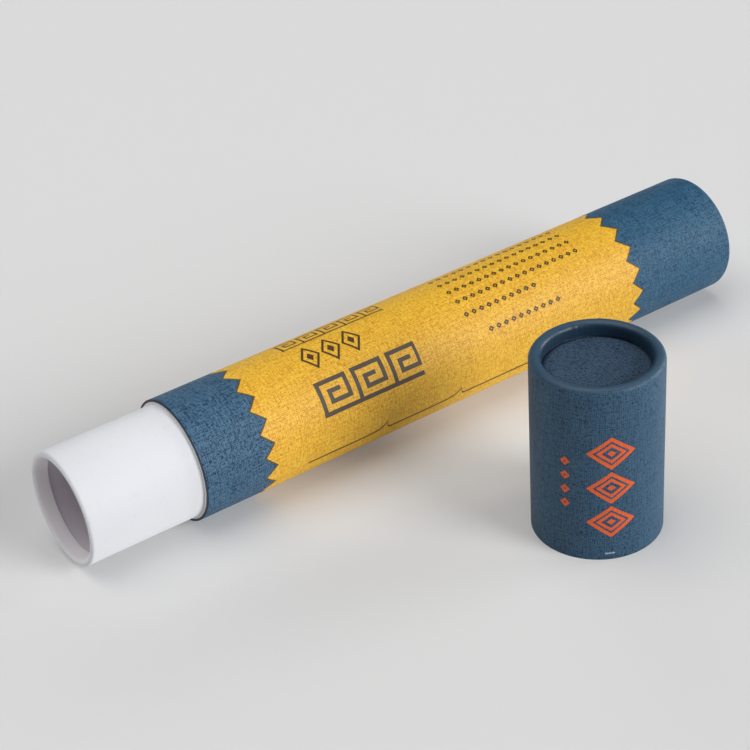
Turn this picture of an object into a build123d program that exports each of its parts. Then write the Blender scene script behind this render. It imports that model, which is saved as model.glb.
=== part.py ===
"""A round cardboard tube with a push-on cap, shown open.

The tube lies on its side along X and the cap stands mouth down in front of it. Millimetres, +Z up.
The origin is on the floor, midway between the ends of the tube and between the tube and the cap.
"""
import os
from math import cos, pi, radians, sin

from build123d import *

os.makedirs("parts", exist_ok=True)

# Driving dimensions of the tube and its cap
tube_diameter = 34.0  # over the covering paper, the same on the tube and the cap
tube_length = 181.0  # from the step at the neck to the crest of the base rim
cap_height = 51.0  # from the mouth to the crest of the top rim
board = 1.0  # wound board of the tube and the cap
paper = 0.25  # embossed covering paper

# The base and the top of the cap: wall and paper curl in over a disc
curl_gap = 0.7  # left open inside the curl, between the wall and the part that is turned in
rim_depth = 3.7  # from the crest of the curl down to the disc
disc_thickness = 1.5
fit_clearance = 0.05  # radial, of the discs and the neck in the tube and in the cap

# The white inner tube, glued inside the tube, whose free end is the neck that carries the cap
neck_length = 33.0  # the length that stands out of the tube
neck_wall = 0.9
cuff_length = 4.2  # its mouth is folded back flat inside, as far as this

# The yellow field printed round the tube, with zigzag ends
neck_band = 17.7  # covering paper left blue between the step and the tips of the teeth
base_band = 33.9  # the same at the base, up to the crest of the rim
tooth_count = 16
tooth_depth = 3.4
tooth_flat = 0.2  # width of a tooth at its tip
tooth_turn = 4.1  # degrees that a row of tips stands above the front of the tube
print_depth = 0.08

# How the two stand: the cap's centre along the tube, and the free floor between them
cap_along = 82.5
cap_gap = 37.9

# Worked out from the dimensions above
tube_radius = tube_diameter / 2
bore_radius = tube_radius - paper - board
neck_radius = bore_radius - fit_clearance
disc_radius = bore_radius - fit_clearance
rim_width = 2 * (paper + board) + curl_gap
tube_disc_face = tube_length - rim_depth
cap_disc_face = cap_height - rim_depth
step_x = (neck_length - tube_length) / 2
tube_y = (tube_diameter + cap_gap) / 2

# Each section plane has its local x along the axis, from the open end, and its local y outwards
tube_section = Plane(origin=(step_x, tube_y, tube_radius), x_dir=(1, 0, 0), z_dir=(0, -1, 0))
cap_section = Plane(origin=(step_x + cap_along, -tube_y, 0), x_dir=(0, 0, 1), z_dir=(0, 1, 0))
tube_axis = Axis(tube_section.origin, tube_section.x_dir)
cap_axis = Axis(cap_section.origin, cap_section.x_dir)


def curled_layer(length, inset, thickness):
    """Outline of one layer of a wall that curls in at its far end, inset from the outer face."""
    bend_x = length - rim_width / 2
    bend_y = tube_radius - rim_width / 2
    outer = rim_width / 2 - inset
    inner = outer - thickness
    cuff_end = length - rim_depth
    Polyline((bend_x, bend_y + inner), (0, bend_y + inner), (0, bend_y + outer), (bend_x, bend_y + outer))
    ThreePointArc((bend_x, bend_y + outer), (bend_x + outer, bend_y), (bend_x, bend_y - outer))
    Polyline(
        (bend_x, bend_y - outer), (cuff_end, bend_y - outer), (cuff_end, bend_y - inner), (bend_x, bend_y - inner)
    )
    ThreePointArc((bend_x, bend_y - inner), (bend_x + inner, bend_y), (bend_x, bend_y + inner))


def disc_half(face):
    """Half section of a disc whose outer face lies at the given place on the axis."""
    back = face - disc_thickness
    Polyline((back, 0), (face, 0), (face, disc_radius), (back, disc_radius), close=True)


# Wound board of the tube, open at the neck and curled in at the base
with BuildPart() as body_tube:
    with BuildSketch(tube_section):
        with BuildLine():
            curled_layer(tube_length, paper, board)
        make_face()
    revolve(axis=tube_axis)

# The yellow field: a sleeve as thin as the print, with a row of notches cut into each end
field_ends = (neck_band, tube_length - base_band)
notch_half_width = tube_radius * sin(pi / tooth_count) - tooth_flat / 2
with BuildPart() as yellow_field:
    with BuildSketch(tube_section):
        with BuildLine():
            Polyline(
                (field_ends[0], tube_radius - print_depth),
                (field_ends[1], tube_radius - print_depth),
                (field_ends[1], tube_radius),
                (field_ends[0], tube_radius),
                close=True,
            )
        make_face()
    revolve(axis=tube_axis)
    for tooth in range(tooth_count):
        turn = radians(tooth_turn) + (tooth + 0.5) * 2 * pi / tooth_count
        outwards = Vector(0, -cos(turn), sin(turn))
        notch_plane = Plane(
            origin=tube_section.origin + outwards * tube_radius, x_dir=tube_section.x_dir, z_dir=outwards
        )
        with BuildSketch(notch_plane):
            for end, inwards in zip(field_ends, (tooth_depth, -tooth_depth)):
                Polygon((end, -notch_half_width), (end + inwards, 0), (end, notch_half_width), align=None)
        extrude(amount=-board, mode=Mode.SUBTRACT)

# Covering paper of the tube, which follows the board round the curl and down to the disc
with BuildPart() as body_wrap:
    with BuildSketch(tube_section):
        with BuildLine():
            curled_layer(tube_length, 0, paper)
        make_face()
    revolve(axis=tube_axis)
    add(yellow_field.part, mode=Mode.SUBTRACT)

# Base disc, behind the curl and in front of the inner tube's closed end
with BuildPart() as base_disc:
    with BuildSketch(tube_section):
        with BuildLine():
            disc_half(tube_disc_face)
        make_face()
    revolve(axis=tube_axis)

# White inner tube: it runs from the base disc to the mouth, where its lip is folded back inside
with BuildPart() as neck_tube:
    lip_radius = neck_radius - 2 * neck_wall
    lip_start = neck_wall - neck_length
    cuff_end = cuff_length - neck_length
    neck_end = tube_disc_face - disc_thickness
    with BuildSketch(tube_section):
        with BuildLine():
            Polyline(
                (lip_start, lip_radius),
                (cuff_end, lip_radius),
                (cuff_end, neck_radius - neck_wall),
                (neck_end, neck_radius - neck_wall),
                (neck_end, neck_radius),
                (lip_start, neck_radius),
            )
            ThreePointArc(
                (lip_start, neck_radius), (-neck_length, neck_radius - neck_wall), (lip_start, lip_radius)
            )
        make_face()
    revolve(axis=tube_axis)

# Wound board of the cap, curled in at the top
with BuildPart() as cap_tube:
    with BuildSketch(cap_section):
        with BuildLine():
            curled_layer(cap_height, paper, board)
        make_face()
    revolve(axis=cap_axis)

# Covering paper of the cap
with BuildPart() as cap_wrap:
    with BuildSketch(cap_section):
        with BuildLine():
            curled_layer(cap_height, 0, paper)
        make_face()
    revolve(axis=cap_axis)

# Disc that closes the cap, behind its curl
with BuildPart() as cap_disc:
    with BuildSketch(cap_section):
        with BuildLine():
            disc_half(cap_disc_face)
        make_face()
    revolve(axis=cap_axis)

body_tube.part.label = "body_tube"
body_wrap.part.label = "body_wrap"
yellow_field.part.label = "yellow_field"
base_disc.part.label = "base_disc"
neck_tube.part.label = "neck_tube"
cap_tube.part.label = "cap_tube"
cap_wrap.part.label = "cap_wrap"
cap_disc.part.label = "cap_disc"

export_step(body_tube.part, "parts/body_tube.step")
export_step(body_wrap.part, "parts/body_wrap.step")
export_step(yellow_field.part, "parts/yellow_field.step")
export_step(base_disc.part, "parts/base_disc.step")
export_step(neck_tube.part, "parts/neck_tube.step")
export_step(cap_tube.part, "parts/cap_tube.step")
export_step(cap_wrap.part, "parts/cap_wrap.step")
export_step(cap_disc.part, "parts/cap_disc.step")
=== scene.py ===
import random
from collections import namedtuple
from math import atan2, cos, degrees, hypot, pi, radians, sin

import bmesh
import bpy
from mathutils import Euler, Matrix, Vector


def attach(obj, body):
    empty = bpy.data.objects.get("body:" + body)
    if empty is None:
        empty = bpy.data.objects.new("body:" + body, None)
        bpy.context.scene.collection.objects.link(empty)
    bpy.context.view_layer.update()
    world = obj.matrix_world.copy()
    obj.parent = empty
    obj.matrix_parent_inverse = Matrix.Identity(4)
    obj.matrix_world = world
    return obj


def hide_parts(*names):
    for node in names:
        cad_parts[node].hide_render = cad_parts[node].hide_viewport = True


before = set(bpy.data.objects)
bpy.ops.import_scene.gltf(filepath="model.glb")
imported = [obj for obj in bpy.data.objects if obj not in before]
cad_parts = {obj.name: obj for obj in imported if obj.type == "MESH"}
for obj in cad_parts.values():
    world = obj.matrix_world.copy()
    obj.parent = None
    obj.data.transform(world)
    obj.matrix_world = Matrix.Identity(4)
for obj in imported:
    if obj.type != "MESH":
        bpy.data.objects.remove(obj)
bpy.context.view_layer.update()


# Wound board of the tube
# Strips of grey-white board are glued round a mandrel in four plies and the tube is cut to length, so its
# plies and a pale cut end show at the neck. At the base the wall is curled in.
MM = 0.001  # sizes are written in millimetres and used in metres
face_radius = 17.0
board_bore = 15.75
ply_thickness = 0.25
paste_radius = 16.30
strip_width = 66.2
strip_slope = 0.62

# Where a round piece lies: a point on its axis in metres, the way along it, and its front and side
Stand = namedtuple("Stand", "foot axis front side")
tube_stand = Stand(
    Vector((-0.074, 0.03595, 0.017)),
    Vector((1, 0, 0)),
    Vector((0, -1, 0)),
    Vector((0, 0, 1)),
)


class Finish:
    """One value of a finish. Python's operators work it out with Math nodes in the material."""

    def __init__(self, tree, socket=None):
        self.tree = tree
        self.socket = socket

    def node(self, kind, settings=None, sockets=None, output=0):
        made = self.tree.nodes.new(kind)
        for name, value in (settings or {}).items():
            setattr(made, name, value)
        for name, value in (sockets or {}).items():
            if isinstance(value, Finish):
                self.tree.links.new(value.socket, made.inputs[name])
            else:
                made.inputs[name].default_value = value
        return Finish(self.tree, made.outputs[output])

    def math(self, operation, *values):
        return self.node("ShaderNodeMath", {"operation": operation}, dict(enumerate(values)))

    def __add__(self, other):
        return self.math("ADD", self, other)

    __radd__ = __add__

    def __sub__(self, other):
        return self.math("SUBTRACT", self, other)

    def __rsub__(self, other):
        return self.math("SUBTRACT", other, self)

    def __mul__(self, other):
        return self.math("MULTIPLY", self, other)

    __rmul__ = __mul__

    def __truediv__(self, other):
        return self.math("DIVIDE", self, other)

    def __mod__(self, other):
        return self.math("FLOORED_MODULO", self, other)

    def __abs__(self):
        return self.math("ABSOLUTE", self)

    def least(self, *others):
        found = self
        for other in others:
            found = self.math("MINIMUM", found, other)
        return found

    def most(self, *others):
        found = self
        for other in others:
            found = self.math("MAXIMUM", found, other)
        return found

    def ramp(self, start, end):
        """0 at start and 1 at end, and held there beyond them."""
        ends = {"Value": self, "From Min": start, "From Max": end}
        return self.node("ShaderNodeMapRange", None, ends)

    def over(self, under, colour):
        """A colour laid over another by this mask."""
        return self.node("ShaderNodeMix", {"data_type": "RGBA"}, {0: self, 6: under, 7: colour}, 2)

    def grain(self, x, y, fineness, detail):
        """Noise from 0 to 1 whose grains are about a millimetre, or that much finer."""
        place = self.node("ShaderNodeCombineXYZ", None, {0: x, 1: y})
        sockets = {"Vector": place, "Scale": fineness, "Detail": detail}
        return self.node("ShaderNodeTexNoise", {"noise_dimensions": "2D"}, sockets)

    def embossed(self, depth):
        """The surface normal of this height, in millimetres."""
        sockets = {"Strength": 1.0, "Distance": depth * MM, "Height": self}
        return self.node("ShaderNodeBump", None, sockets)

    def feed(self, shader, name):
        self.tree.links.new(self.socket, shader.inputs[name])


def tint(red, green, blue):
    """A colour as a paint chart gives it, 0 to 255, made linear."""
    shares = (red / 255, green / 255, blue / 255)
    linear = [c / 12.92 if c <= 0.04045 else ((c + 0.055) / 1.055) ** 2.4 for c in shares]
    return (*linear, 1.0)


def new_material(name):
    made = bpy.data.materials.new(name)
    made.use_nodes = True
    return made, made.node_tree.nodes["Principled BSDF"], Finish(made.node_tree)


def measured(place, stand, direction):
    """How far a point lies from the foot of its piece in one direction, in millimetres."""
    moved = place.node("ShaderNodeVectorMath", {"operation": "SUBTRACT"}, {0: place, 1: stand.foot})
    sockets = {0: moved, 1: direction}
    return moved.node("ShaderNodeVectorMath", {"operation": "DOT_PRODUCT"}, sockets, "Value") * (1 / MM)


def unrolled(finish, stand):
    """Where a point lies once its round piece is unrolled: round it, along it and out from its axis."""
    place = finish.node("ShaderNodeTexCoord", None, None, "Object")
    along, front, side = (measured(place, stand, way) for way in (stand.axis, stand.front, stand.side))
    around = side.math("ARCTAN2", side, front) * face_radius
    out = front.math("SQRT", front * front + side * side)
    return around, along, out


def board_material(name, stand):
    """Grey-white wound board: glue lines between its plies, dark paste under the paper, a seam and flecks."""
    made, shader, finish = new_material(name)
    around, along, out = unrolled(finish, stand)
    pulp = finish.grain(around, along, 1.3, 4)
    flecks = finish.grain(around, along + out * 3.0, 3.2, 1).ramp(0.70, 0.76)
    on_cut_end = out.ramp(board_bore + 0.05, board_bore + 0.11)
    on_bore = out.ramp(board_bore + 0.05, board_bore + 0.01)
    to_joint = abs((out + pulp * 0.05) % ply_thickness - ply_thickness / 2)
    glue_line = to_joint.ramp(0.022, 0.008) * on_cut_end * 0.55
    to_seam = abs((along - around * strip_slope) % strip_width - strip_width / 2)
    seam = to_seam.ramp(0.25, 0.10) * on_bore
    paste = out.ramp(paste_radius, paste_radius + 0.08)
    board = pulp.over(tint(244, 241, 242), tint(252, 250, 251))
    board = (glue_line * 0.4).over(board, tint(206, 199, 197))
    board = (seam * 0.6).over(board, tint(150, 143, 137))
    board = (paste * 0.9).over(board, tint(30, 38, 58))
    board = (flecks * 0.75).over(board, tint(70, 72, 82))
    board.feed(shader, "Base Color")
    shader.inputs["Roughness"].default_value = 0.9
    shader.inputs["Specular IOR Level"].default_value = 0.25
    (pulp + flecks * -0.4 - glue_line - seam).embossed(0.05).feed(shader, "Normal")
    return made


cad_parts["body_tube"].data.materials.clear()
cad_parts["body_tube"].data.materials.append(board_material("wound_board_tube", tube_stand))


# Covering paper of the tube and its yellow print
# Blue linen-embossed paper is rolled round the board with a lap at the back and goes round the curl of the
# base, where its turned-in edge is gathered in small pleats. The yellow field with zigzag ends is printed.
tube_length = 181.0
paper_thickness = 0.25
curl_radius = 1.6
cuff_reach = 3.7
pleat_depths = (0.02, 0.035, 0.055)
pleated_share = 0.45
lap_rises = ((157, 162, 0.03), (162, 166, 0.07), (166, 181, 0.10))
crease_angle = radians(35.0)
linen_threads = 237
columns = 256
tooth_count = 16
tooth_turn = 4.8
base_tooth_turn = tooth_turn - 360 / columns
tooth_depth = 3.4
tip_near_neck = 17.7
tip_near_base = 147.1
field_from, field_to = 19.6, 145.5


def polar(stand, point):
    """A point's place along a round piece, its angle in degrees and its radius."""
    out = point - stand.foot
    front, side = out.dot(stand.front), out.dot(stand.side)
    return out.dot(stand.axis) / MM, degrees(atan2(side, front)), hypot(front, side) / MM


def begin_ring(name, stand, along, radius, turn=0.0):
    """Begins a round piece as a ring of points, one of them at the angle turn, open for modelling."""
    bpy.ops.object.select_all(action="DESELECT")
    first = stand.front * cos(radians(turn)) + stand.side * sin(radians(turn))
    pose = Matrix((first.cross(stand.axis), first, stand.axis)).transposed()
    bpy.ops.mesh.primitive_circle_add(
        vertices=columns,
        radius=radius * MM,
        location=stand.foot + stand.axis * along * MM,
        rotation=pose.to_euler(),
    )
    piece = bpy.context.object
    piece.name = piece.data.name = name
    bpy.ops.object.transform_apply(location=True, rotation=True, scale=True)
    bpy.ops.object.mode_set(mode="EDIT")
    bpy.ops.mesh.select_all(action="SELECT")
    return piece


def draw_out(stand, profile):
    """Extrudes the selected ring along a profile of places along the axis and radii."""
    for (along, radius), (next_along, next_radius) in zip(profile, profile[1:]):
        step = stand.axis * (next_along - along) * MM
        bpy.ops.mesh.extrude_region_move(TRANSFORM_OT_translate={"value": step})
        size = next_radius / radius
        centre = stand.foot + stand.axis * next_along * MM
        bpy.ops.transform.resize(value=(size, size, size), center_override=centre)


def choose(piece, stand, wanted, faces=False):
    """Selects the points or faces of the open piece that a test picks by their place."""
    bpy.ops.mesh.select_all(action="DESELECT")
    mesh = bmesh.from_edit_mesh(piece.data)
    for part in mesh.faces if faces else mesh.verts:
        if wanted(*polar(stand, part.calc_center_median() if faces else part.co)):
            part.select_set(True)
    mesh.select_flush_mode()
    bmesh.update_edit_mesh(piece.data)


def widen(stand, size):
    """Scales the selection towards or away from the axis."""
    value = [1 + (size - 1) * (1 - abs(a)) for a in stand.axis]
    bpy.ops.transform.resize(value=value, center_override=stand.foot)


def close_piece():
    """Merges the open piece's doubled points, turns its faces outwards and shades it."""
    bpy.ops.mesh.select_all(action="SELECT")
    bpy.ops.mesh.remove_doubles(threshold=0.002 * MM)
    bpy.ops.mesh.normals_make_consistent(inside=False)
    bpy.ops.object.mode_set(mode="OBJECT")
    bpy.ops.object.shade_smooth_by_angle(angle=crease_angle)


def thicken(piece, thickness):
    """Gives a sheet its thickness, inwards."""
    bpy.ops.object.select_all(action="DESELECT")
    piece.select_set(True)
    bpy.context.view_layer.objects.active = piece
    bpy.ops.object.modifier_add(type="SOLIDIFY")
    wall = piece.modifiers[-1]
    wall.thickness = thickness * MM
    wall.offset = -1.0
    wall.use_even_offset = True
    bpy.ops.object.modifier_apply(modifier=wall.name)
    bpy.ops.object.shade_smooth_by_angle(angle=crease_angle)


def roll_covering(name, stand, length, stops, seed, turn=0.0):
    """Rolls a covering paper round its board: a straight sleeve, the curl at its end, the pleated cuff."""
    bend = length - curl_radius
    crest = face_radius - curl_radius
    throat = crest - curl_radius
    turns = [radians(t) for t in range(0, 181, 15)]
    curl = [(bend + curl_radius * sin(t), crest + curl_radius * cos(t)) for t in turns]
    cuff = [(length - reach, throat) for reach in (2.3, 3.0, cuff_reach)]
    piece = begin_ring(name, stand, 0, face_radius, turn)
    draw_out(stand, [(0, face_radius)] + [(stop, face_radius) for stop in stops] + curl + cuff)

    # The paper is too wide for the narrower throat, so it gathers in pleats of uneven depth
    dice = random.Random(seed)
    pleats = {column: dice.choice(pleat_depths) for column in range(columns) if dice.random() < pleated_share}
    for depth in pleat_depths:
        # A pleat deepens from the crest of the curl, where it has this share of its depth, to the throat
        for height, share in ((14.6, 0.25), (14.0, 0.6), (throat, 1.0)):
            def on_pleat(along, angle, radius):
                column = round((angle - turn) / 360 * columns) % columns
                on_cuff = along > bend - 3 and height - 0.05 < radius < height + 0.45
                return on_cuff and pleats.get(column) == depth
            choose(piece, stand, on_pleat)
            widen(stand, 1 - depth * share / height)

    # The lap: the outer edge of the sheet lies on its inner edge and swells the back a little
    for from_angle, to_angle, rise in lap_rises:
        def on_lap(along, angle, radius):
            return from_angle < angle % 360 <= to_angle and radius > crest - 0.1
        choose(piece, stand, on_lap)
        widen(stand, 1 + rise / face_radius)
    bpy.ops.mesh.select_all(action="SELECT")
    mesh = bmesh.from_edit_mesh(piece.data)
    mesh.faces.ensure_lookup_table()
    outwards = mesh.faces[0].calc_center_median() - stand.foot
    outwards -= stand.axis * outwards.dot(stand.axis)
    if mesh.faces[0].normal.dot(outwards) < 0:
        bpy.ops.mesh.flip_normals()
    return piece


def linen(finish, around, along, dashes=0.9, streaks=0.4):
    """Height of the embossed linen, 1 on the threads and 0 or less in the grooves between them.

    The threads swell and thin along their length, so the grooves open into short dashes and close again,
    and a thread that is thin all along leaves a long faint streak.
    """
    pitch = 2 * pi * face_radius / linen_threads
    height = 1.2
    for over, beside, turned in ((along, around, 0.0), (around, along, 41.0)):
        place = over / pitch + finish.grain(over + turned, beside, 0.2, 3) * 2.2
        groove = 1.0 - abs(place % 1.0 - 0.5) * 2.0
        dash = finish.grain(beside * 0.9, over * 4.4 + turned, 1.0, 1).ramp(0.46, 0.25)
        streak = finish.grain(beside * 0.16, over * 3.4 + turned, 1.0, 1).ramp(0.50, 0.28)
        height = height - groove * 0.35 - dash * dashes - streak * streaks
    return height


def linen_colour(height, cloth, pit, smooth=0.0):
    """The paper's colour: darker in the grooves of the linen, and even where it has been rubbed smooth."""
    depth = height.ramp(0.9, 0.0)
    return (depth + (0.75 - depth) * smooth).over(cloth, pit)


tube_rings = (14.0, tip_near_neck, 23.0, 82.25, 141.5, tip_near_base, 150.5)
tube_covering = roll_covering(
    "tube_covering_paper", tube_stand, tube_length, tube_rings, seed=7, turn=tooth_turn
)

# The rings at the tips of the two rows of teeth are drawn out into zigzags, and the field between is cut free
half_tooth = columns // tooth_count // 2
for tip, inwards, row_turn in ((tip_near_neck, 1, tooth_turn), (tip_near_base, -1, base_tooth_turn)):
    for step in range(1, half_tooth + 1):
        def on_tooth(along, angle, radius):
            column = round((angle - row_turn) / 360 * columns) % (2 * half_tooth)
            return abs(along - tip) < 0.01 and min(column, 2 * half_tooth - column) == step
        choose(tube_covering, tube_stand, on_tooth)
        bpy.ops.transform.translate(value=tube_stand.axis * inwards * tooth_depth * step / half_tooth * MM)
choose(tube_covering, tube_stand, lambda along, angle, radius: field_from < along < field_to, faces=True)
bpy.ops.mesh.separate(type="SELECTED")
bpy.ops.object.mode_set(mode="OBJECT")
yellow_field = [o for o in bpy.context.selected_objects if o is not tube_covering][0]
yellow_field.name = yellow_field.data.name = "yellow_printed_field"
thicken(tube_covering, paper_thickness)
thicken(yellow_field, paper_thickness)


def zigzag(finish, around, along):
    """How far a point lies inside the printed field, in millimetres, negative outside it."""
    def tooth(row_turn):
        turn = (around * (1 / (2 * pi * face_radius)) - row_turn / 360) * tooth_count
        return abs((turn + 0.5) % 1.0 - 0.5) * (2 * tooth_depth)
    return (along - tooth(tooth_turn) - tip_near_neck).least(tip_near_base - tooth(base_tooth_turn) - along)


def blue_paper(name, stand, cloth, pit, crest, *weave):
    """Blue linen-embossed satin paper: rubbed smooth, grey and painted sheen round the curl, painted shade in
    its throat.
    """
    made, shader, finish = new_material(name)
    around, along, out = unrolled(finish, stand)
    height = linen(finish, around, along, *weave)
    smooth = out.ramp(16.9, 15.8) * 0.8
    blotch = finish.grain(around * 0.12, along * 0.05, 1.0, 3)
    colour = linen_colour(height, cloth, pit, smooth)
    colour = (blotch.ramp(0.35, 0.75) * 0.18).over(colour, crest)
    # Round the curl the paper is painted lighter and greyer: partly worn paper, partly a painted sheen
    curl_wear_and_sheen = out.ramp(16.95, 16.2) * out.ramp(14.3, 15.0)
    colour = (curl_wear_and_sheen * 0.85).over(colour, tint(62, 87, 106))
    # Painted shade darkens the throat inside the curl
    painted_throat_shade = out.ramp(14.5, 13.9)
    colour = (painted_throat_shade * 0.4).over(colour, tint(6, 12, 22))
    return made, shader, finish, (around, along, out), height, smooth, colour


blue_made, blue_shader, _, (_, blue_along, _), blue_height, blue_smooth, blue_colour = blue_paper(
    "blue_linen_paper", tube_stand, tint(91, 131, 161), tint(10, 46, 76), tint(41, 87, 123)
)
# Painted shade: the blue is darker and deeper towards the base, where the light falls off along the tube
painted_shade_towards_base = blue_along.ramp(20.0, 165.0)
blue_colour = (painted_shade_towards_base * 0.35).over(blue_colour, tint(6, 82, 116))
# The paper's cut edge is dark, and a strip beside it is darkened as painted shade of its rounded edge
dark_edge_and_painted_shade = blue_along.ramp(0.40, 0.22)
blue_colour = (dark_edge_and_painted_shade * 0.9).over(blue_colour, tint(26, 36, 56))
blue_colour.feed(blue_shader, "Base Color")
(0.52 - blue_smooth * 0.12).feed(blue_shader, "Roughness")
blue_shader.inputs["Diffuse Roughness"].default_value = 0.35
blue_shader.inputs["Specular IOR Level"].default_value = 0.25
blue_shader.inputs["Coat Roughness"].default_value = 0.38
(blue_smooth * 0.5).feed(blue_shader, "Coat Weight")
(blue_height * (1.0 - blue_smooth)).embossed(0.045).feed(blue_shader, "Normal")
tube_covering.data.materials.append(blue_made)

yellow_made, yellow_shader, yellow_finish = new_material("yellow_print_on_linen")
around, along, _ = unrolled(yellow_finish, tube_stand)
yellow_height = linen(yellow_finish, around, along)
yellow = linen_colour(yellow_height, tint(255, 217, 67), tint(220, 150, 15))
in_groove = yellow_height.ramp(0.6, 0.0)
outline = zigzag(yellow_finish, around, along).ramp(0.70, 0.52)
yellow = (outline * 0.9).over(yellow, tint(36, 34, 44))


def stroke(distance, half_width):
    """The ink of a line of that half width, from the distance to its middle."""
    return distance.ramp(half_width + 0.04, half_width - 0.04)


def bar(run, rise, left, right, low, high):
    """Distance to a straight bar of a fret, with square ends and corners."""
    across = abs(run - (left + right) / 2) - (right - left) / 2
    upright = abs(rise - (low + high) / 2) - (high - low) / 2
    return across.most(upright)


def fret(run, rise, unit):
    """A running key fret seven units high, one hook every eight units."""
    cell = (run / unit + 0.5) % 8.0 - 0.5
    level = rise / unit
    hook = bar(cell, level, -0.5, 7.5, 0, 0).least(
        bar(cell, level, 0, 0, 0, 6),
        bar(cell, level, 0, 6, 6, 6),
        bar(cell, level, 6, 6, 2, 6),
        bar(cell, level, 2, 6, 2, 2),
        bar(cell, level, 2, 2, 2, 4),
        bar(cell, level, 2, 4, 4, 4),
    )
    return hook * unit


def within(place, low, high):
    """A mask with crisp ends along a row."""
    half = (high - low) / 2
    return abs(place - (low + high) / 2).ramp(half + 0.03, half - 0.03)


def lozenges(run, rise, pitch, half_length, half_height):
    """How far out from the middle of its lozenge a point of a row is, from 0 to 1 on the outline."""
    return abs(run % pitch - pitch / 2) / half_length + abs(rise) / half_height


# Printed ornament: two bands of fret, a chain of lozenges, rows of small lozenges and a braced line
broad_fret = fret(along - 38.3, around - 5.7, 1.42)
broad_ends = within(along, 37.6, 69.9)
narrow_fret = fret(along - 37.6, around - 28.9, 0.84)
ink = (stroke(broad_fret, 0.60) * broad_ends).most(stroke(narrow_fret, 0.28) * within(along, 37.2, 69.8))
chain = lozenges(along - 38.6, around - 22.5, 6.5, 3.1, 4.6)
chain_ink = stroke(abs(chain - 0.84) * 2.4, 0.30).most(chain.ramp(0.36, 0.32))
ink = ink.most(chain_ink * within(along, 38.5, 58.2))
# Each row of small lozenges has its level round the tube and its start and end along it
small_rows = (
    (15.5, 87.4, 113.4),
    (20.0, 87.4, 131.0),
    (24.0, 87.4, 131.0),
    (28.2, 87.4, 131.0),
    (32.4, 87.4, 131.0),
    (9.2, 92.6, 118.6),
)
for row, row_start, row_end in small_rows:
    small = lozenges(along - row_start, around - row, 2.6, 0.92, 0.85)
    ink = ink.most(small.ramp(1.05, 0.95) * small.ramp(0.20, 0.34) * within(along, row_start, row_end))
brace_level = -7.0
for cusp in (56.7, 81.7):
    swoop = (along - cusp).least((cusp - along) * 4.5)
    brace_level = brace_level + swoop.math("EXPONENT", swoop * 0.62) * 2.7
braced = stroke(abs(around - brace_level), 0.33) * within(along, 31.4, 107.0)
yellow = (ink * (0.97 - in_groove * 0.12)).over(yellow, tint(44, 28, 22))
yellow = (braced * 0.97).over(yellow, tint(52, 18, 4))
broad_fill = stroke(broad_fret, 0.42) * broad_ends
yellow = (broad_fill * (0.62 - in_groove * 0.25)).over(yellow, tint(86, 86, 88))
yellow.feed(yellow_shader, "Base Color")
yellow_shader.inputs["Roughness"].default_value = 0.5
yellow_shader.inputs["Diffuse Roughness"].default_value = 0.7
yellow_shader.inputs["Specular IOR Level"].default_value = 0.5
yellow_height.embossed(0.04).feed(yellow_shader, "Normal")
yellow_field.data.materials.append(yellow_made)

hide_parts("body_wrap")
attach(tube_covering, "tube")
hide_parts("yellow_field")
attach(yellow_field, "tube")


# Base disc
# A board disc faced with the same linen paper. It is pushed in against the inner tube, and the curled rim
# of the tube holds it.
disc_radius = 15.7
disc_thickness = 1.5
crease_depth = 0.5


def cut_disc(name, stand, face):
    """A board disc, pressed a little hollow, with a crease round it under the curl."""
    back = face - disc_thickness
    piece = begin_ring(name, stand, back, disc_radius)
    draw_out(
        stand,
        [
            (back, disc_radius),
            (face - 0.15, disc_radius),
            (face, disc_radius - 0.15),
            (face, 14.2),
            (face - crease_depth, 13.9),
            (face - crease_depth, 13.6),
            (face - 0.10, 13.0),
            (face - 0.04, 12.4),
            (face - 0.10, 8.0),
            (face - 0.12, 3.0),
            (face - 0.12, 0.02),
        ],
    )
    bpy.ops.mesh.merge(type="CENTER")
    choose(piece, stand, lambda along, angle, radius: abs(along - back) < 0.01)
    draw_out(stand, [(back, disc_radius), (back, 8.0), (back, 0.02)])
    bpy.ops.mesh.merge(type="CENTER")
    close_piece()
    return piece


def disc_paper(name, stand, turn, face):
    """Blue linen paper on the disc's face with painted shade in the crease, and bare grey board on its back
    and edge.
    """
    made, shader, finish = new_material(name)
    place = finish.node("ShaderNodeTexCoord", None, None, "Object")
    warp_way = stand.front * cos(turn) + stand.side * sin(turn)
    weft_way = stand.side * cos(turn) - stand.front * sin(turn)
    across, down, depth = (measured(place, stand, way) for way in (warp_way, weft_way, stand.axis))
    height = linen(finish, across, down, 0.65, 0.25)
    colour = linen_colour(height, tint(72, 94, 117), tint(22, 40, 60))
    dust = finish.grain(across, down, 2.6, 1).ramp(0.74, 0.80)
    colour = (dust * 0.35).over(colour, tint(150, 165, 185))
    # Painted shade darkens the crease under the curl
    painted_crease_shade = depth.ramp(face - 0.15, face - 0.45)
    colour = (painted_crease_shade * 0.6).over(colour, tint(14, 22, 34))
    bare = depth.ramp(face - 0.7, face - 0.8)
    colour = bare.over(colour, tint(170, 165, 158))
    colour.feed(shader, "Base Color")
    shader.inputs["Roughness"].default_value = 0.65
    shader.inputs["Specular IOR Level"].default_value = 0.2
    height.embossed(0.030).feed(shader, "Normal")
    return made


base_face = tube_length - cuff_reach
base_disc = cut_disc("base_end_disc", tube_stand, base_face)
base_disc.data.materials.append(disc_paper("blue_linen_disc_base", tube_stand, 0.4, base_face))
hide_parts("base_disc")
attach(base_disc, "tube")


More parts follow.
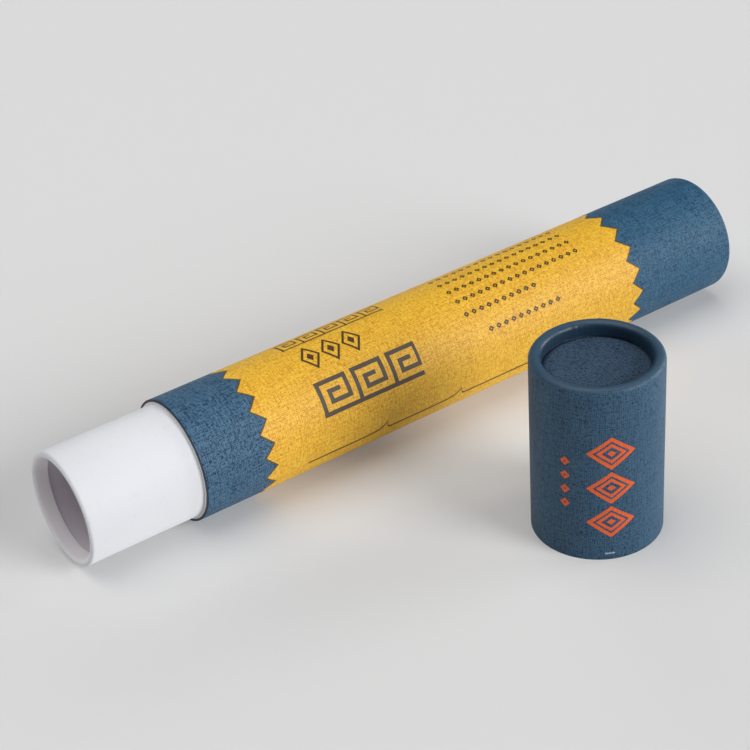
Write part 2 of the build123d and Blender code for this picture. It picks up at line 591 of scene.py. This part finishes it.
# Inner tube and neck
# White-lined board rolled to a smaller tube and glued inside the other as far as the base disc. What stands
# out is the neck; its mouth is folded back flat inside, so its lip is round and double.
neck_radius = 15.7
neck_wall = 0.9
neck_length = 33.0
fold_end = -28.8
bore = neck_radius - neck_wall
throat = bore - neck_wall
inner_end = base_face - disc_thickness
seam_from, seam_to, seam_rise = 196, 204, 0.05
fold = neck_wall - neck_length
lip_turns = [radians(t) for t in range(0, 181, 15)]
inner_tube = begin_ring("inner_tube_with_neck", tube_stand, inner_end, neck_radius)
draw_out(
    tube_stand,
    [(place, neck_radius) for place in (inner_end, 90.0, 0.0, -10.0, -21.0)]
    + [(fold - neck_wall * sin(t), bore + neck_wall * cos(t)) for t in lip_turns]
    + [(-30.4, throat), (fold_end - 0.12, throat), (fold_end, throat + 0.12)]
    + [(fold_end, bore), (0.0, bore), (90.0, bore), (inner_end, bore), (inner_end, neck_radius)],
)


def on_seam(along, angle, radius):
    return seam_from < angle % 360 < seam_to and radius > neck_radius - 0.2 and along > fold + 0.1


choose(inner_tube, tube_stand, on_seam)
widen(tube_stand, 1 + seam_rise / neck_radius)
close_piece()

neck_made, neck_shader, neck_finish = new_material("white_lined_board")
around, along, out = unrolled(neck_finish, tube_stand)
fibre = neck_finish.grain(around * 0.5, along * 0.5, 1.0, 5)
soft_wave = neck_finish.grain(around * 0.06, along * 0.05, 1.0, 2)
# The folded lip is painted brighter white, a painted light, and the bore behind it greyer and violet, a
# painted shade
cuff = out.ramp(15.3, 14.6)
inside = out.ramp(15.0, 14.6) * along.ramp(fold_end - 0.05, fold_end + 0.05)
white = soft_wave.over(tint(232, 234, 238), tint(236, 237, 241))
white = (fibre.ramp(0.62, 0.80) * 0.25).over(white, tint(214, 214, 218))
white = cuff.over(white, tint(250, 247, 249))
painted_shade_bore = fibre.over(tint(206, 194, 205), tint(218, 207, 217))
white = inside.over(white, painted_shade_bore)
white.feed(neck_shader, "Base Color")
neck_shader.inputs["Roughness"].default_value = 0.6
neck_shader.inputs["Diffuse Roughness"].default_value = 0.7
neck_shader.inputs["Specular IOR Level"].default_value = 0.3
(fibre * 0.3 + soft_wave * 3.0).embossed(0.02).feed(neck_shader, "Normal")
inner_tube.data.materials.append(neck_made)
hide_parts("neck_tube")
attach(inner_tube, "tube")


# Wound board of the cap
# The cap is a length of the same wound board. Its mouth is cut square and its top is curled in.
cap_front = radians(-130.55)
cap_stand = Stand(
    Vector((0.0085, -0.03595, 0.0)),
    Vector((0, 0, 1)),
    Vector((cos(cap_front), sin(cap_front), 0)),
    Vector((-sin(cap_front), cos(cap_front), 0)),
)
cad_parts["cap_tube"].data.materials.clear()
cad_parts["cap_tube"].data.materials.append(board_material("wound_board_cap", cap_stand))


# Covering paper of the cap
# The same blue linen-embossed paper, printed with an orange ornament. It goes round the curl at the top and
# down inside to the disc, gathered in pleats, and is cut flush with the board at the mouth.
cap_height = 51.0
cap_rings = (3.0, 14.0, 30.0, 46.0)
cap_covering = roll_covering("cap_covering_paper", cap_stand, cap_height, cap_rings, seed=23)
bpy.ops.object.mode_set(mode="OBJECT")
thicken(cap_covering, paper_thickness)

cap_made, cap_shader, cap_finish, (around, along, _), cap_linen, cap_smooth, cap_colour = blue_paper(
    "blue_linen_paper_cap", cap_stand, tint(69, 103, 129), tint(24, 50, 73), tint(38, 72, 101), 0.65, 0.3
)

# Printed ornament: a column of nested lozenges and one of small lozenges, with a scuff near the mouth
nest = lozenges(along - 6.6, around - 3.6, 10.4, 4.9, 6.4)
outer_ring = stroke(abs(nest - 0.86) * 3.4, 0.42)
inner_ring = stroke(abs(nest - 0.50) * 3.4, 0.34)
orange_ink = outer_ring.most(inner_ring, nest.ramp(0.20, 0.16)) * within(along, 6.7, 37.8)
beads = lozenges(along - 14.6, around + 8.2, 4.2, 1.35, 1.35)
orange_ink = orange_ink.most(beads.ramp(1.04, 0.96) * beads.ramp(0.22, 0.34) * within(along, 14.7, 31.3))
cap_colour = (orange_ink * (0.94 - cap_linen.ramp(0.6, 0.0) * 0.22)).over(cap_colour, tint(246, 104, 34))
scuff_edge = cap_finish.grain(around, along, 2.0, 3)
scuff_width = (abs(around - 3.3) + scuff_edge * 1.6).ramp(2.2, 1.7)
scuff_height = (abs(along - 1.9) + scuff_edge * 0.5).ramp(0.55, 0.40)
cap_colour = (scuff_width * scuff_height * 0.75).over(cap_colour, tint(196, 206, 216))
cap_cut_edge = along.ramp(0.10, 0.02)
cap_colour = cap_cut_edge.over(cap_colour, tint(40, 48, 66))
cap_colour.feed(cap_shader, "Base Color")
(0.52 - cap_smooth * 0.12).feed(cap_shader, "Roughness")
cap_shader.inputs["Specular IOR Level"].default_value = 0.22
cap_shader.inputs["Coat Roughness"].default_value = 0.38
(cap_smooth * 0.5).feed(cap_shader, "Coat Weight")
(cap_linen * (1.0 - cap_smooth)).embossed(0.03).feed(cap_shader, "Normal")
cap_covering.data.materials.append(cap_made)
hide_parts("cap_wrap")
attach(cap_covering, "cap")


# Cap disc
# The board disc that closes the cap, faced with linen paper and held behind the curl.
cap_face = cap_height - cuff_reach
cap_disc = cut_disc("cap_top_disc", cap_stand, cap_face)
cap_disc.data.materials.append(disc_paper("blue_linen_disc_cap", cap_stand, 0.55, cap_face))
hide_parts("cap_disc")
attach(cap_disc, "cap")


# Table, lamps and camera
# A plain pale table, with a large soft lamp low at the front right, a low one at the right, a wide one high
# above and two faint low ones behind and left. The camera stands where the photograph was taken from.
bpy.ops.object.select_all(action="DESELECT")
bpy.ops.mesh.primitive_circle_add(vertices=96, radius=3.0, fill_type="TRIFAN", location=(0, 0, 0))
table = bpy.context.object
table.name = "pale_table"
table_made, table_shader, table_finish = new_material("pale_table_top")
table_shader.inputs["Base Color"].default_value = (0.80, 0.80, 0.80, 1)
table_shader.inputs["Roughness"].default_value = 0.9
table_shader.inputs["Specular IOR Level"].default_value = 0.1
# The table glows faintly and evenly towards the camera, which lights nothing else
painted = Finish(table_made.node_tree, table_shader.outputs["BSDF"])
glow = table_finish.node("ShaderNodeEmission", None, {"Color": (0.695, 0.695, 0.695, 1), "Strength": 1.0})
to_camera = table_finish.node("ShaderNodeLightPath", None, None, "Is Camera Ray")
lit_table = table_finish.node("ShaderNodeMixShader", None, {0: to_camera * 0.12, 1: painted, 2: glow})
lit_table.feed(table_made.node_tree.nodes["Material Output"], "Surface")
table.data.materials.append(table_made)


def lamp(name, heading, elevation, strength, softness):
    """A far soft lamp. Heading is the way it lies, in degrees from +X towards +Y."""
    data = bpy.data.lights.new(name, "SUN")
    data.energy = strength
    data.angle = radians(softness)
    made = bpy.data.objects.new(name, data)
    bpy.context.collection.objects.link(made)
    level = cos(radians(elevation))
    way = Vector((cos(radians(heading)) * level, sin(radians(heading)) * level, sin(radians(elevation))))
    made.rotation_euler = way.to_track_quat("Z", "Y").to_euler()
    return made


lamp("key_lamp", -66, 25, 2.13, 30)
lamp("low_right_lamp", -18, 5, 1.9, 30)
lamp("high_lamp", 162, 75, 1.45, 60)
# The two faint lamps give no gloss
for fill_lamp in (lamp("low_back_lamp", 72, 15, 0.60, 40), lamp("low_left_lamp", 117, 15, 0.40, 40)):
    fill_lamp.visible_glossy = False

# The room gives no light of its own, and only the camera sees its pale backdrop
world = bpy.data.worlds.new("studio")
bpy.context.scene.world = world
world.use_nodes = True
air = Finish(world.node_tree)
to_camera = air.node("ShaderNodeLightPath", None, None, "Is Camera Ray")
room = air.node("ShaderNodeBackground", None, {"Color": (1, 1, 1, 1), "Strength": 0.0})
backdrop = air.node("ShaderNodeBackground", None, {"Color": (0.69, 0.69, 0.69, 1), "Strength": 1.0})
shown = air.node("ShaderNodeMixShader", None, {0: to_camera, 1: room, 2: backdrop})
shown.feed(world.node_tree.nodes["World Output"], "Surface")

camera_data = bpy.data.cameras.new("camera")
camera_data.lens = 103.533
camera_data.sensor_width = 36.0
camera_data.clip_start = 0.01
camera = bpy.data.objects.new("camera", camera_data)
bpy.context.collection.objects.link(camera)
camera_place = Vector((-0.280835, -0.374142, 0.341088))
camera_turns = Euler((radians(56.4561), radians(3.1979), radians(-35.6132)))
camera.matrix_world = Matrix.Translation(camera_place) @ camera_turns.to_matrix().to_4x4()
bpy.context.scene.camera = camera
bpy.context.scene.view_settings.view_transform = "Standard"
